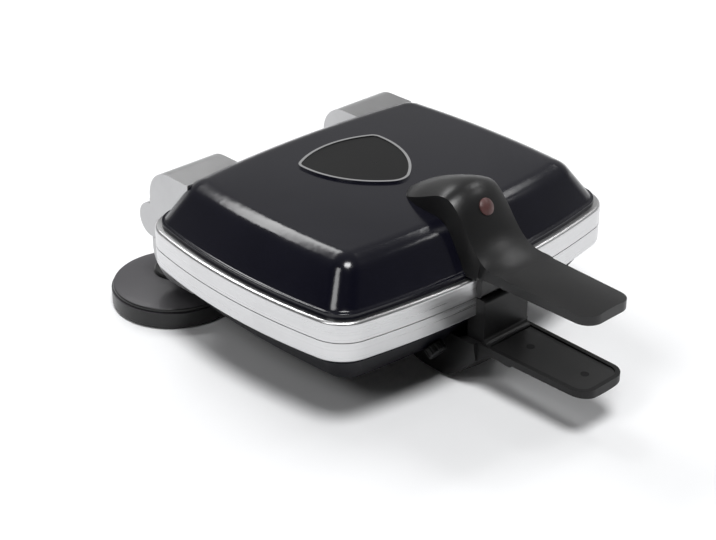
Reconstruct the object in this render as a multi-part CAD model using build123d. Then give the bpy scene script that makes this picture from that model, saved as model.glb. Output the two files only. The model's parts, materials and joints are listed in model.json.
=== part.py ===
from build123d import *
from dataclasses import dataclass
import math
import os

# Sandwich and waffle maker: two mirrored halves that close like a clam, on a rear axle
# between two round feet. All sizes are in millimetres.
# Every piece is drawn in the body's own axes: the origin is the middle of the body in plan, on the
# parting plane between the halves, with X to the right, Y to the back and Z up.

# Body outline: a rectangle with bowed sides and rounded corners
body_width = 290.0
body_depth = 234.0
side_bow_radius = 470.0
end_bow_radius = 600.0
body_corner_radius = 28.0

# The two aluminium frames that meet at the parting plane
parting_gap = 0.6
frame_height = 15.0
frame_wall = 2.6
frame_edge_round = 2.4
ledge_width = 22.0
ledge_thickness = 2.0

# The black shells
lip_inset = 5.0
lip_width = 2.4
lip_thickness = 4.0
shell_wall = 2.0
shell_rise = 29.0
shell_lean_side = 24.0
shell_lean_end = 21.0
shell_top_bow_radius = 930.0
shell_top_corner_radius = 17.0
shell_edge_round = 20.0
lip_round = 1.5
lip_edge_round = 0.8

# Cooking plates
plate_clearance = 1.0
plate_setback = 0.2
plate_skirt = 3.0
plate_flange = 4.0
field_depth = 7.0
field_floor = 4.0
field_wall = 4.0
field_width = 110.0
field_length = 168.0
field_spacing = 10.0
field_corner_radius = 8.0
peg_columns = 4
peg_rows = 6
peg_height = 4.2
peg_base = 20.0
peg_top = 15.5

# Heating elements, reflectors and what feeds them
element_radius = 3.2
element_gap = 0.2
element_span_x = 196.0
element_span_y = 138.0
element_waist = 32.0
element_setback = 48.0
element_bend_radius = 18.0
element_tail = 24.0
reflector_sheet = 0.8
reflector_depth = 8.0
reflector_lip = 3.0
thermostat_radius = 8.0
thermostat_height = 8.5
thermostat_gap = 2.8
thermostat_floor = 1.5
terminal_block_size = (34.0, 14.0, 11.0)
fuse_radius = 3.0
fuse_length = 26.0
inlet_radius = 7.5
inlet_bore_radius = 3.6
inlet_stand_off = 6.0
inlet_sink = 4.0
inlet_level = 31.0
inlet_chamfer = 1.5
inlet_clearance = 0.05
inlet_reach = 30.0

# Hinge: two arms on each half, one long axle and two posts on round feet
hinge_offset = 11.0
hinge_half_height = 44.0
hinge_back_clearance = 0.6
hinge_front_reach = 46.0
hinge_shoulder_radius = 23.0
hinge_inner_x = 60.0
hinge_outer_x = 112.0
knuckle_radius = 13.5
knuckle_side_gap = 0.4
knuckle_width_lid = 8.0
knuckle_width_lower = 9.2
knuckle_gap = 0.5
axle_radius = 4.0
axle_clearance = 0.05
axle_end_cap = 2.2
axle_end_play = 0.3
post_width = 16.0
post_depth = 12.0
post_side_gap = 0.6
post_front_gap = 1.5
post_foot_radius = 19.0
post_foot_thickness = 4.0
post_foot_set_back = 4.0
post_foot_chamfer = 1.2

# Round feet under the hinge
table_drop = 72.0
foot_radius = 48.5
foot_upper_radius = 47.3
foot_set_forward = 3.0
foot_centre_x = 95.0
foot_lower_rim_height = 12.8
foot_upper_rim_height = 2.2
foot_groove_height = 1.2
foot_groove_depth = 1.0
foot_dome_rise = 3.0
foot_edge_round = 1.6
foot_bevel = 1.8
foot_pad_sink = 0.64
foot_pad_thickness = 1.6
foot_pad_inset = 4.0
foot_pad_width = 14.0

# Handles
handle_wall = 3.0
handle_reach = 97.5
upper_root_thickness = 4.0
lower_root_thickness = 8.0
root_half_width = 22.0
root_edge_round = 2.5
root_fillet = 4.0
body_clearance = 0.05
upper_grip_level = 17.0
upper_grip_thickness = 6.5
lower_grip_level = 33.0
lower_grip_thickness = 5.0
grip_root_half_width = 24.2
grip_tip_half_width = 22.2
grip_tip_round = 12.0
grip_crown = 2.6
hood_rise = 21.5
hood_half_width = 22.5
hood_base_half_width = 28.0
hood_crown = 5.0
front_foot_half_width = 26.5
front_foot_pad_thickness = 1.2
front_foot_pad_margin = 4.0
cover_inset = 3.4
cover_recess = 1.0
cover_thickness = 2.0
cover_clearance = 0.2
cover_seat_gap = 0.02

# Fasteners
screw_radius = 1.5
screw_head_radius = 3.0
screw_head_height = 1.6
screw_clearance = 0.05
screw_head_gap = 0.3
shell_screw_length = 9.0
boss_radius = 3.4
boss_height = 16.0
shell_screw_x = 121.0
shell_screw_y = 84.0
handle_screw_x = 12.0
handle_screw_y = -70.0
handle_screw_length = 10.0
plate_screw_x = 60.0
plate_screw_inset = 14.5
plate_screw_length = 5.0
plate_boss_radius = 4.5
hinge_screw_length = 8.0
hinge_screw_sink = 1.7
hinge_screw_level = 8.5
cover_screw_spacing = 48.0
cover_screw_length = 4.2
cover_screw_head = 0.95
post_screw_spacing = 18.0
post_screw_length = 9.0

# Lamp, badge and thermostat knob
lamp_radius = 5.0
lamp_distance = 7.0
lamp_seat_depth = 12.0
lamp_stand_off = 0.4
lamp_socket_length = 6.0
lamp_clearance = 0.1
lamp_dome = 1.6
lamp_depth = 5.0
badge_half_width = 39.0
badge_back_y = 57.5
badge_shoulder_y = 46.0
badge_tip_y = -26.0
badge_waist_x = 30.8
badge_waist_y = 4.0
badge_tip_round = 15.0
badge_corner_round = 8.0
badge_thickness = 1.0
badge_rim_width = 2.0
badge_rim_height = 1.6
knob_radius = 7.5
knob_height = 7.0
knob_x = -40.0
knob_level = 40.0
knob_shaft_radius = 3.0
knob_shaft_length = 11.0
knob_chamfer = 0.8
knob_notches = 12
knob_notch_radius = 1.1
knob_pointer_width = 1.2
knob_gap = 0.4
knob_bow = 0.6

half_width = body_width / 2
half_depth = body_depth / 2
half_gap = parting_gap / 2
hinge_y = half_depth + hinge_offset
foot_y = hinge_y - foot_set_forward
lip_top = frame_height + lip_thickness
shell_top = lip_top + shell_rise
shell_inset = lip_inset + lip_width
front_foot_level = table_drop - front_foot_pad_thickness
plate_back = frame_height - ledge_thickness
plate_face = half_gap + plate_setback
plate_floor = plate_face + field_depth + field_floor
element_level = plate_floor + element_gap + element_radius
tip_y = -half_depth - handle_reach
wall_slope_end = math.atan2(shell_rise, shell_lean_end)


def bowed_outline(half_x, half_y, side_radius, end_radius, corner_radius):
    """A rectangle whose four sides bow outwards, with rounded corners, as a flat face at the origin."""
    face = Pos(half_x - side_radius, 0) * Circle(side_radius)
    face = face & (Pos(side_radius - half_x, 0) * Circle(side_radius))
    face = face & (Pos(0, half_y - end_radius) * Circle(end_radius))
    face = face & (Pos(0, end_radius - half_y) * Circle(end_radius))
    return fillet(face.vertices(), corner_radius)


def body_outline(inset):
    """The body's outline, moved inwards by a distance."""
    return bowed_outline(
        half_width - inset,
        half_depth - inset,
        side_bow_radius - inset,
        end_bow_radius - inset,
        max(body_corner_radius - inset, 4.0),
    )


def slab(face, low, high):
    """A flat face drawn at the origin, made solid from one height to another."""
    return extrude(Pos(0, 0, low) * face, high - low)


def rod(radius, start, end):
    """A round rod between two points."""
    direction = Vector(*end) - Vector(*start)
    plane = Plane(origin=start, z_dir=direction)
    return extrude(plane * Circle(radius), direction.length)


def block(x, y, z):
    """A box from its lowest and highest value along each axis."""
    size = [high - low for low, high in (x, y, z)]
    return Pos(*[(low + high) / 2 for low, high in (x, y, z)]) * Box(*size)


def lower(shape):
    """The same piece on the lower half: mirrored through the parting plane."""
    return mirror(shape, Plane.XY)


def one_solid(shape):
    """The largest solid of a shape, which drops slivers that a cut leaves."""
    return max(shape.solids(), key=lambda solid: solid.volume)


def shell_form(grow=0.0):
    """The raised part of a shell as a full solid, upright within the lip and leaning above it."""
    base = body_outline(shell_inset - grow)
    top = bowed_outline(
        half_width - shell_inset - shell_lean_side + grow,
        half_depth - shell_inset - shell_lean_end + grow,
        shell_top_bow_radius,
        shell_top_bow_radius,
        shell_top_corner_radius + grow,
    )
    form = loft([Pos(0, 0, lip_top) * base, Pos(0, 0, shell_top + grow) * top], ruled=True)
    form = fillet(form.faces().sort_by(Axis.Z)[-1].edges(), shell_edge_round + grow)
    return form + slab(base, frame_height, lip_top)


def front_edges(body, level):
    """The edges that cross the middle of the front at a height, from the outermost inwards."""
    edges = [e for e in body.edges() if abs(e.center().Z - level) < 0.01 and abs(e.center().X) < 1]
    return sorted(edges, key=lambda e: e.center().Y)


def round_lip(body, level):
    """Rounds the lip's outer edge and the corner at the foot of the leaning wall, all the way round."""
    body = fillet(front_edges(body, level)[0], lip_edge_round)
    return fillet(front_edges(body, level)[1], lip_round)


def half_envelope(gap=0.0):
    """Everything that a half's frame and shell fill, for pieces that seat on the outside."""
    lip = slab(body_outline(lip_inset - gap), frame_height, lip_top + gap)
    raised = round_lip(lip + shell_form(gap), lip_top + gap)
    return slab(body_outline(-gap), 0, frame_height + gap) + raised


def shell_screw_places():
    return [(sx * shell_screw_x, sy * shell_screw_y) for sx in (-1, 1) for sy in (-1, 1)]


def screw(start, direction, length):
    """A pan head screw whose head seats at a point, with the shank running along a direction."""
    start = Vector(*start)
    direction = Vector(*direction).normalized()
    head = rod(screw_head_radius, start - direction * screw_head_height, start)
    return head + rod(screw_radius, start, start + direction * length)


def screw_hole(start, direction, length):
    start = Vector(*start)
    direction = Vector(*direction).normalized()
    return rod(screw_radius + screw_clearance, start - direction, start + direction * (length + 0.5))


def shell():
    """A black shell: lip, leaning walls and flat top, open towards the frame."""
    form = shell_form()
    outer = slab(body_outline(lip_inset), frame_height, lip_top) + form
    outer = round_lip(outer, lip_top)
    bosses = [
        form & (Pos(x, y, frame_height + boss_height / 2) * Cylinder(boss_radius, boss_height))
        for x, y in shell_screw_places()
    ]
    body = outer - shell_form(-shell_wall)
    for boss in bosses:
        body = body + boss
    for x, y in shell_screw_places():
        body = body - screw_hole((x, y, frame_height), (0, 0, 1), shell_screw_length - ledge_thickness)
    return body


def shell_cuts_for_handle(body):
    """Clears the two handle screws and the lamp lead through the top of a shell."""
    for sx in (-1, 1):
        start = (sx * handle_screw_x, handle_screw_y, shell_top - shell_wall)
        body = body - screw_hole(start, (0, 0, 1), handle_screw_length)
    lead_hole = Pos(0, handle_screw_y, shell_top) * Cylinder(lamp_radius / 2, 20)
    return body - lead_hole


def frame(kind):
    """An aluminium frame: an outer wall and an inner ledge that carries the plate and the shell."""
    outer = slab(body_outline(0), half_gap, frame_height)
    outer = fillet(outer.faces().sort_by(Axis.Z)[-1].edges(), frame_edge_round)
    body = outer - slab(body_outline(frame_wall), 0, plate_back)
    body = body - slab(body_outline(ledge_width), plate_back - 1, frame_height + 1)
    for x, y in shell_screw_places():
        body = body - screw_hole((x, y, plate_back), (0, 0, 1), shell_screw_length)
    for side in (-1, 1):
        for place in hinge_screw_places(side, kind):
            x, y, z = place
            body = body - screw_hole(place, (0, 1, 0), hinge_screw_length)
            body = body - rod(screw_head_radius + 0.1, (x, y - 5, z), (x, y + hinge_screw_sink + 0.05, z))
    for x, y in plate_screw_places():
        body = body - screw_hole((x, y, frame_height), (0, 0, -1), plate_screw_length)
    return body


def end_face_y(x):
    """How far back the bowed rear face of the frame is at a place across the body."""
    centre = half_depth - end_bow_radius
    return centre + math.sqrt(end_bow_radius**2 - x**2)


def end_wall_y(height):
    """How far out the leaning end wall of a shell is at a height, in the middle of the body."""
    return half_depth - shell_inset - shell_lean_end * (height - lip_top) / shell_rise


def hinge_screw_places(side, kind):
    """Where screws go through a frame's rear wall into an arm, behind the arm's own knuckles."""
    places = []
    for low, high in knuckle_spans(kind):
        x = (low + high) / 2
        places.append((side * x, end_face_y(x) - frame_wall, hinge_screw_level))
    return places


def plate_fields():
    """The middles of the two waffle fields."""
    return [side * (field_width + field_spacing) / 2 for side in (-1, 1)]


def peg():
    """One tapered peg, standing on the floor of a field and pointing at the parting plane."""
    floor = plate_face + field_depth
    foot = Pos(0, 0, floor + 1) * Rectangle(peg_base, peg_base)
    head = Pos(0, 0, floor - peg_height) * Rectangle(peg_top, peg_top)
    return loft([head, foot], ruled=True)


def waffle_plate():
    """A cast cooking plate with two sunken fields of pegs and a skirt that rests on the ledge."""
    edge_inset = frame_wall + plate_clearance
    body = slab(body_outline(edge_inset), plate_face, plate_back)
    body = body - slab(body_outline(edge_inset + plate_skirt), plate_face + plate_flange, plate_back + 1)
    field = RectangleRounded(field_width, field_length, field_corner_radius)
    tub_width = 2 * field_width + field_spacing + 2 * field_wall
    tub = RectangleRounded(tub_width, field_length + 2 * field_wall, field_corner_radius + field_wall)
    body = body + slab(tub, plate_face, plate_floor)
    for x, y in plate_screw_places():
        body = body + rod(plate_boss_radius, (x, y, plate_face + 1), (x, y, plate_back))
    pitch_x = field_width / peg_columns
    pitch_y = field_length / peg_rows
    pegs = []
    for x in plate_fields():
        body = body - slab(Pos(x, 0) * field, plate_face - 1, plate_face + field_depth)
        for column in range(peg_columns):
            for row in range(peg_rows):
                peg_x = x + (column - (peg_columns - 1) / 2) * pitch_x
                peg_y = (row - (peg_rows - 1) / 2) * pitch_y
                pegs.append(Pos(peg_x, peg_y, 0) * peg())
    body = body.fuse(*pegs)
    for x, y in plate_screw_places():
        body = body - screw_hole((x, y, frame_height), (0, 0, -1), plate_screw_length)
    return body


def plate_screw_places():
    """Where screws come down through the ledge into the back of a plate."""
    y = end_face_y(plate_screw_x) - plate_screw_inset
    return [(sx * plate_screw_x, sy * y) for sx in (-1, 1) for sy in (-1, 1)]


def plate_screws():
    result = None
    for x, y in plate_screw_places():
        one = screw((x, y, frame_height), (0, 0, -1), plate_screw_length)
        result = one if result is None else result + one
    return result


def element_path():
    """The centre line of a heating element: a loop with a waist, and two tails to the back."""
    x = element_span_x / 2
    y = element_span_y / 2
    tail = y + element_tail
    turn = y - element_setback
    right = [(x, -y), (x, turn), (element_waist, turn), (element_waist, tail)]
    points = [(-px, py) for px, py in reversed(right)] + right
    return FilletPolyline(*[(px, py, element_level) for px, py in points], radius=element_bend_radius)


def heating_element():
    """The tubular element that lies on the back of a plate."""
    path = element_path()
    section = Plane(origin=path @ 0, z_dir=path % 0) * Circle(element_radius)
    return sweep(section, path)


def reflector():
    """A bright sheet tray behind an element, resting on the frame's ledge."""
    outer_inset = ledge_width - reflector_lip
    rim = slab(body_outline(outer_inset), frame_height, frame_height + reflector_sheet)
    tray = slab(body_outline(ledge_width + 1), frame_height, frame_height + reflector_depth)
    tray_floor = frame_height + reflector_depth - reflector_sheet
    inside = slab(body_outline(ledge_width + 1 + reflector_sheet), frame_height - 1, tray_floor)
    body = rim + tray - inside
    for side in (-1, 1):
        x = side * element_waist
        slot = block(
            (x - element_radius - 1, x + element_radius + 1),
            (half_depth - ledge_width - 8, half_depth),
            (frame_height - 1, frame_height + reflector_depth - 2),
        )
        body = body - slot
    return one_solid(body)


def arch_section(y, half_x, base_half_x, bottom, edge, crown):
    """One cross-section of a handle: a flat bottom, leaning sides and a crowned top."""
    base_right = Vector(base_half_x, y, bottom)
    base_left = Vector(-base_half_x, y, bottom)
    right = Vector(half_x, y, edge)
    left = Vector(-half_x, y, edge)
    top = ThreePointArc(right, Vector(0, y, crown), left)
    return Wire([Line(base_left, base_right), Line(base_right, right), top, Line(left, base_left)])


def upper_handle_sections():
    """The hood rises from the lid, turns down over its front and runs out into the grip."""
    lid_front = -half_depth + shell_inset + shell_lean_end
    crest = shell_top + hood_rise
    grip = upper_grip_level + upper_grip_thickness
    narrow = grip_root_half_width + 1.0
    base = hood_base_half_width
    w = hood_half_width
    return [
        (lid_front + 57, w * 0.3, w * 0.35, shell_top - 3.0, shell_top - 1.0),
        (lid_front + 48, w * 0.68, w * 0.75, shell_top - 0.5, shell_top + 5.5),
        (lid_front + 37, w * 0.88, w * 0.95, shell_top + 4.0, shell_top + 12.0),
        (lid_front + 24, w * 0.97, w * 1.05, shell_top + 9.5, crest - 4.0),
        (lid_front + 9, w, w * 1.12, crest - hood_crown - 1.0, crest - 0.2),
        (lid_front - 1, w, base, crest - hood_crown - 1.5, crest - 0.8),
        (lid_front - 10, w, base, crest - hood_crown - 9.0, crest - 7.5),
        (lid_front - 20, w + 0.4, base, grip + 18.5, grip + 23.0),
        (lid_front - 31, w + 1.0, base, grip + 6.5, grip + 10.5),
        (lid_front - 42, narrow - 0.6, narrow, grip + 1.6, grip + 4.8),
        (lid_front - 56, narrow - 0.6, narrow, grip + 0.4, grip + 0.4 + grip_crown),
        (lid_front - 90, narrow - 0.6, narrow, grip - 0.4, grip - 0.4 + grip_crown),
        (tip_y - 2, narrow - 0.6, narrow, grip - 1.4, grip - 1.4 + grip_crown),
    ]


def lower_handle_sections():
    """The same hood made broad and flat, because the lower half stands on it."""
    lid_front = -half_depth + shell_inset + shell_lean_end
    flat = front_foot_level
    grip = lower_grip_level + lower_grip_thickness
    narrow = grip_root_half_width + 1.0
    base = hood_base_half_width
    w = front_foot_half_width
    return [
        (lid_front + 57, w * 0.3, w * 0.35, shell_top - 3.0, shell_top - 1.0),
        (lid_front + 48, w * 0.68, w * 0.72, shell_top + 4.0, shell_top + 8.5),
        (lid_front + 37, w * 0.88, w * 0.92, flat - 8.0, flat - 4.5),
        (lid_front + 24, w * 0.97, w, flat - 2.0, flat + 0.4),
        (lid_front + 9, w, base, flat - 1.0, flat + 1.2),
        (lid_front - 6, w, base, flat - 1.6, flat + 0.8),
        (lid_front - 16, w, base, flat - 7.5, flat - 4.5),
        (lid_front - 28, w - 0.6, base, grip + 14.0, grip + 17.5),
        (lid_front - 39, w - 1.4, base - 1, grip + 4.0, grip + 7.0),
        (lid_front - 50, narrow - 0.6, narrow, grip + 0.8, grip + 3.4),
        (lid_front - 64, narrow - 0.6, narrow, grip, grip + grip_crown),
        (lid_front - 94, narrow - 0.6, narrow, grip - 0.3, grip - 0.3 + grip_crown),
        (tip_y - 2, narrow - 0.6, narrow, grip - 0.8, grip - 0.8 + grip_crown),
    ]


@dataclass
class Grip:
    """What differs between the upper handle and the lower one, as heights above the parting plane."""

    level: float
    root_thickness: float
    stations: list
    flat: float
    ceiling: float

    def root_y(self):
        return -half_depth - self.root_thickness


def upper_grip():
    top = shell_top + hood_rise
    return Grip(upper_grip_level, upper_root_thickness, upper_handle_sections(), top + 1, top)


def lower_grip():
    flat = front_foot_level
    return Grip(lower_grip_level, lower_root_thickness, lower_handle_sections(), flat, flat - handle_wall)


def grip_plan(root_y, inset=0.0):
    """A grip from above: tapering from its root to a rounded tip."""
    root = grip_root_half_width - inset
    tip = grip_tip_half_width - inset
    outline = Polyline(
        (-root, root_y),
        (-tip, tip_y + inset),
        (tip, tip_y + inset),
        (root, root_y),
        close=True,
    )
    face = make_face(outline)
    corners = face.vertices().sort_by(Axis.Y)[:2]
    return fillet(corners, grip_tip_round - inset)


def root_wall(grip):
    """The wall that runs down a frame's front, rounded at its edge and filleted into the grip."""
    back = -half_depth + shell_inset
    front = grip.root_y()
    toe = front - root_fillet - 1
    top = grip.level + 2
    under = [(front, half_gap), (front, grip.level), (toe, grip.level), (toe, top)]
    face = make_face(Polyline((back, half_gap), *under, (back, top), close=True))
    corners = {}
    for vertex in face.vertices():
        corners[(round(vertex.X, 3), round(vertex.Y, 3))] = vertex
    face = fillet(corners[(round(front, 3), round(grip.level, 3))], root_fillet)
    edge = min(face.vertices(), key=lambda v: math.hypot(v.X - front, v.Y - half_gap))
    face = fillet(edge, root_edge_round)
    return across(face, -root_half_width, root_half_width)


def arches(sections, bottom, wall=0.0):
    """The outlines at a handle's stations, or those of its inner room when a wall is taken off."""
    outlines = []
    for y, half, foot, edge, top in sections:
        outlines.append(arch_section(y, half - wall, foot - wall, bottom, edge - wall, top - wall))
    return outlines


def hood_and_grip(sections, bottom):
    """The handle's outer form: a smooth hood and bend, then a straight grip through the last sections."""
    bend = len(sections) - 2
    sections = arches(sections, bottom)
    hood = Solid.make_loft(sections[:bend], False)
    return hood + Solid.make_loft(sections[bend - 1 :], True)


def handle(grip):
    """A moulded handle that hugs a half's front and top, still solid, drawn for the upper half."""
    form = hood_and_grip(grip.stations, grip.level)
    open_plan = block((-80, 80), (-half_depth - upper_root_thickness, 80), (-1, 100))
    form = form & (open_plan + slab(grip_plan(-half_depth), -1, 100))
    form = form + root_wall(grip)
    form = form - block((-80, 80), (-300, 80), (grip.flat, grip.flat + 40))
    return one_solid(form - half_envelope(body_clearance))


def handle_bosses():
    """Two posts inside the hood, from the shell up to the hood's roof, that take the handle screws."""
    reach = hood_rise + handle_wall
    return [
        Pos(sx * handle_screw_x, handle_screw_y, shell_top + reach / 2) * Cylinder(boss_radius, reach)
        for sx in (-1, 1)
    ]


def hood_room(grip):
    """The space inside a hood, one wall in from its outside, from behind the crest to the front slope."""
    inner = arches(grip.stations[3:9], grip.level, handle_wall)
    room = Solid.make_loft(inner, False)
    ends = block((-80, 80), (-half_depth + shell_inset + 1, 0), (grip.level, grip.ceiling))
    return room & ends


def finish_handle(form, grip):
    """Hollows the hood, sinks the cover's seat into the grip and bores the screw holes."""
    body = form - hood_room(grip)
    for boss in handle_bosses():
        body = body + (boss & form)
    seat = grip_plan(cover_root_y(grip), cover_inset)
    body = body - slab(seat, grip.level - 1, grip.level + cover_recess + cover_thickness)
    for sx in (-1, 1):
        start = (sx * handle_screw_x, handle_screw_y, shell_top - shell_wall)
        body = body - screw_hole(start, (0, 0, 1), handle_screw_length)
    for place in cover_screw_places(grip):
        body = body - screw_hole(place, (0, 0, 1), cover_screw_length)
    return one_solid(body)


def cover_root_y(grip):
    """Where the sunk cover of a grip begins, clear of the fillet at the root."""
    return grip.root_y() - root_fillet - 1


def cover_screw_places(grip):
    middle = (cover_root_y(grip) + tip_y) / 2
    level = grip.level + cover_recess
    return [(0, middle + offset, level) for offset in (-cover_screw_spacing / 2, cover_screw_spacing / 2)]


def grip_cover(grip):
    """The inlay that closes the inner side of a grip, a little below the rim."""
    face = grip_plan(cover_root_y(grip) - cover_clearance, cover_inset + cover_clearance)
    seat = grip.level + cover_recess
    body = slab(face, seat, seat + cover_thickness - cover_seat_gap)
    for place in cover_screw_places(grip):
        x, y, z = place
        body = body - rod(screw_head_radius + 0.1, (x, y, z - 1), (x, y, z + cover_screw_head + 0.05))
        body = body - screw_hole(place, (0, 0, 1), cover_thickness + 1)
    return body


def cover_screws(grip):
    """Countersunk screws of a cover, with flat heads level with it."""
    result = None
    for x, y, z in cover_screw_places(grip):
        one = rod(screw_head_radius, (x, y, z), (x, y, z + cover_screw_head))
        one = one + rod(screw_radius, (x, y, z), (x, y, z + cover_screw_length))
        result = one if result is None else result + one
    return result


def lamp_axis():
    """The lamp's place on the front slope of the upper hood, and the way it looks out."""
    stations = upper_handle_sections()
    top = Vector(0, stations[6][0], stations[6][4])
    bottom = Vector(0, stations[7][0], stations[7][4])
    along = (bottom - top).normalized()
    return top + along * lamp_distance, Vector(0, along.Z, -along.Y)


def lamp_seat():
    middle, normal = lamp_axis()
    back = middle - normal * lamp_seat_depth
    return rod(lamp_radius + lamp_clearance, back, middle + normal * lamp_radius)


def lamp_lens():
    """The domed window of the pilot lamp."""
    middle, normal = lamp_axis()
    body = rod(lamp_radius, middle - normal * lamp_depth, middle + normal * lamp_stand_off)
    dome_radius = (lamp_radius**2 + lamp_dome**2) / (2 * lamp_dome)
    centre = middle + normal * (lamp_stand_off + lamp_dome - dome_radius)
    dome = Pos(*centre) * Sphere(dome_radius)
    dome = dome & rod(lamp_radius, middle, middle + normal * (lamp_dome + 2))
    return one_solid(body + dome)


def lamp_holder():
    """The socket behind the lens, inside the hood."""
    middle, normal = lamp_axis()
    back = middle - normal * (lamp_depth + 0.1)
    return rod(lamp_radius - 1, back - normal * lamp_socket_length, back)


def hinge_profile():
    """A hinge arm from the side: over the shell's back slope, round a shoulder and down to the axle."""
    back = hinge_y - hinge_back_clearance
    front = back - hinge_front_reach
    top = hinge_half_height
    face = make_face(Polyline((front, half_gap), (back, half_gap), (back, top), (front, top), close=True))
    corner = face.vertices().sort_by(lambda v: v.X + v.Y)[-1]
    return fillet(corner, hinge_shoulder_radius)


def across(face, x_low, x_high):
    """A face drawn with depth and height as its two axes, made solid along X."""
    plane = Plane(origin=(x_low, 0, 0), x_dir=(0, 1, 0), z_dir=(1, 0, 0))
    return extrude(plane * face, x_high - x_low)


def axle_drum(x_low, x_high, radius):
    return rod(radius, (x_low, hinge_y, 0), (x_high, hinge_y, 0))


def post_middle_x():
    return (hinge_inner_x + hinge_outer_x) / 2


def knuckle_spans(kind):
    """Where the lid's, the lower half's and the post's knuckles lie along the axle, on the right side."""
    middle = post_middle_x()
    post = (middle - post_width / 2, middle + post_width / 2)
    if kind == "post":
        return [post]
    if kind == "lower":
        return [
            (post[0] - knuckle_gap - knuckle_width_lower, post[0] - knuckle_gap),
            (post[1] + knuckle_gap, post[1] + knuckle_gap + knuckle_width_lower),
        ]
    width = knuckle_width_lid
    return [(hinge_inner_x, hinge_inner_x + width), (hinge_outer_x - width, hinge_outer_x)]


def hinge_arm(kind):
    """A right-hand hinge arm, drawn for the upper half, with its own knuckles on the axle."""
    body = across(hinge_profile(), hinge_inner_x, hinge_outer_x)
    body = body - axle_drum(hinge_inner_x - 1, hinge_outer_x + 1, knuckle_radius + knuckle_side_gap)
    for low, high in knuckle_spans(kind):
        web = block((low, high), (half_depth - 2, hinge_y), (half_gap, half_gap + knuckle_radius + 4))
        body = body + axle_drum(low, high, knuckle_radius) + web
    slot_low = knuckle_spans("post")[0][0] - post_side_gap
    slot_high = knuckle_spans("post")[0][1] + post_side_gap
    slot_front = hinge_y - post_depth / 2 - post_front_gap
    body = body - block((slot_low, slot_high), (slot_front, hinge_y + 20), (0, hinge_half_height + 10))
    bore_end = hinge_outer_x - axle_end_cap
    body = body - axle_drum(hinge_inner_x - 1, bore_end, axle_radius + axle_clearance)
    body = body - half_envelope(body_clearance)
    for place in hinge_screw_places(1, kind):
        body = body - screw_hole(place, (0, 1, 0), hinge_screw_length + hinge_screw_sink)
    return one_solid(body)


def hinge_screws(kind):
    """The four screws that hold two arms to a frame's rear wall, with their heads sunk in the wall."""
    result = None
    for side in (-1, 1):
        for x, y, z in hinge_screw_places(side, kind):
            one = screw((x, y + hinge_screw_sink, z), (0, 1, 0), hinge_screw_length)
            result = one if result is None else result + one
    return result


def hinge_axle():
    """The steel axle that joins both posts and carries both halves."""
    end = hinge_outer_x - axle_end_cap - axle_end_play
    return axle_drum(-end, end, axle_radius)


def foot_base_level():
    return foot_pad_thickness - foot_pad_sink - table_drop


def foot_top_level():
    return foot_base_level() + foot_lower_rim_height + foot_groove_height + foot_upper_rim_height


def foot_disc():
    """A round foot with a stepped rim and a low dome, drawn for the right side."""
    low = foot_base_level()
    step = low + foot_lower_rim_height
    rim_top = foot_top_level()
    rim = foot_upper_radius
    groove = foot_upper_radius - foot_groove_depth
    dome_radius = (rim**2 + foot_dome_rise**2) / (2 * foot_dome_rise)
    half_way = rim_top + foot_dome_rise - dome_radius + math.sqrt(dome_radius**2 - rim**2 / 4)
    profile = Polyline(
        (0, low),
        (foot_radius - foot_bevel, low),
        (foot_radius, low + foot_bevel),
        (foot_radius, step),
        (groove, step),
        (groove, step + foot_groove_height),
        (rim, step + foot_groove_height),
        (rim, rim_top),
    )
    dome = ThreePointArc((rim, rim_top), (rim / 2, half_way), (0, rim_top + foot_dome_rise))
    close = Line((0, rim_top + foot_dome_rise), (0, low))
    face = make_face([*profile.edges(), dome, close])
    body = revolve(Plane.XZ * face, Axis.Z)
    top_edge = [edge for edge in body.edges() if abs(edge.center().Z - rim_top) < 0.01]
    body = fillet(top_edge, foot_edge_round)
    body = Pos(foot_centre_x, foot_y, 0) * body
    body = body - foot_pad_ring(0.1)
    body = body - post_socket()
    for place in post_screw_places():
        body = body - screw_hole(place, (0, 0, 1), post_screw_length)
        x, y, z = place
        body = body - rod(screw_head_radius + screw_head_gap, (x, y, -table_drop - 1), (x, y, z))
    return body


def foot_pad_ring(gap=0.0):
    outer = foot_radius - foot_pad_inset + gap
    inner = foot_radius - foot_pad_inset - foot_pad_width - gap
    face = Circle(outer) - Circle(inner)
    return Pos(foot_centre_x, foot_y) * slab(face, -table_drop, -table_drop + foot_pad_thickness + gap)


def post_base_level():
    return foot_top_level() + 1.0


def post_base(radius, height):
    """A disc on a foot, under the post and a little behind it."""
    place = (post_middle_x(), hinge_y + post_foot_set_back)
    low = post_base_level()
    return rod(radius, (*place, low), (*place, low + height))


def post_socket():
    """The flat seat in the dome of a foot for the base of a post."""
    return post_base(post_foot_radius + 0.1, 20)


def post_screw_places():
    x = post_middle_x()
    return [(x + s * post_screw_spacing / 2, hinge_y, post_base_level() - 4.0) for s in (-1, 1)]


def hinge_post():
    """The black upright that carries the axle above a foot, drawn for the right side."""
    low, high = knuckle_spans("post")[0]
    base = post_base_level()
    drum = axle_drum(low, high, knuckle_radius)
    stem = block((low, high), (hinge_y - post_depth / 2, hinge_y + post_depth / 2), (base, 0))
    foot = post_base(post_foot_radius, post_foot_thickness)
    foot = chamfer(foot.faces().sort_by(Axis.Z)[-1].edges(), post_foot_chamfer)
    body = drum + stem + foot
    body = body - axle_drum(low - 1, high + 1, axle_radius + axle_clearance)
    for place in post_screw_places():
        body = body - screw_hole(place, (0, 0, 1), post_screw_length)
    return one_solid(body)


def post_screws():
    """Two screws from below into each post."""
    result = None
    for side in (-1, 1):
        for x, y, z in post_screw_places():
            one = screw((side * x, y, z), (0, 0, 1), post_screw_length)
            result = one if result is None else result + one
    return result


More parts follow.
